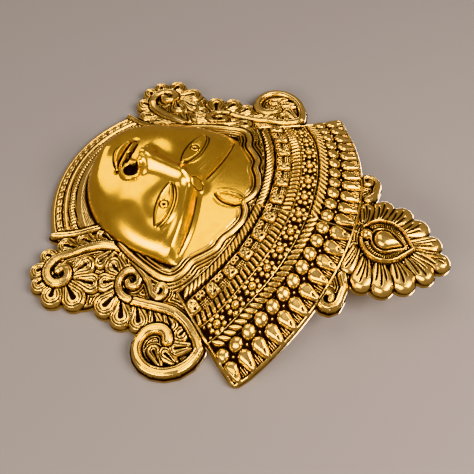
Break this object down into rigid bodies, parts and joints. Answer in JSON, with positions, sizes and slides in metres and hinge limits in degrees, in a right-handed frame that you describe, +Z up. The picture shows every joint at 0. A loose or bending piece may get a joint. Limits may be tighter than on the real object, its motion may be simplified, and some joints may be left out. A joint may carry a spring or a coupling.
{
  "type": "goddess face wall hanging",
  "caption": "Antique gold cast metal wall hanging: a crowned goddess face in relief, with beaded crown bands, scrolls at both sides and a ribbed neck ring.",
  "frame": {"origin": "where the nail bears: middle of the lower edge of the hanging bar's back face, 22 mm in front of the wall", "axes": "+Z up the face to the crown's tip, -Y out of the wall towards the viewer, +X to the viewer's right"},
  "size_m": [0.2702, 0.0516, 0.2945],
  "materials": {
    "antique_gold": "polished antique gold plate with dark oxidised hollows"
  },
  "bodies": {
    "root": {"goddess_face_plaque": "antique_gold"}
  },
  "joints": []
}
